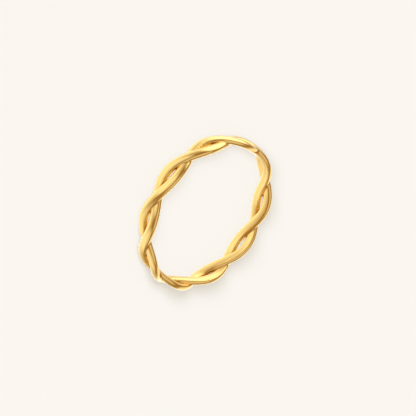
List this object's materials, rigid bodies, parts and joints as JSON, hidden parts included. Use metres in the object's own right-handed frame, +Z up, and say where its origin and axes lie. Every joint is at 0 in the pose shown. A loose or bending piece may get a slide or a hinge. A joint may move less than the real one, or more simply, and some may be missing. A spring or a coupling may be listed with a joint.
{
  "type": "twist ring",
  "caption": "Slim polished gold finger ring of smooth strands wound round each other into an open twist, with eye-shaped gaps between the crossings.",
  "frame": {"origin": "on the floor under the middle of the ring, which lies on its side", "axes": "+Z up, along the finger axis; the ring is round about Z; the strands wind right-handed"},
  "size_m": [0.0198, 0.0195, 0.0028],
  "materials": {
    "polished_gold": "mirror-polished yellow gold"
  },
  "bodies": {
    "root": {"twist_band": "polished_gold"}
  },
  "joints": []
}
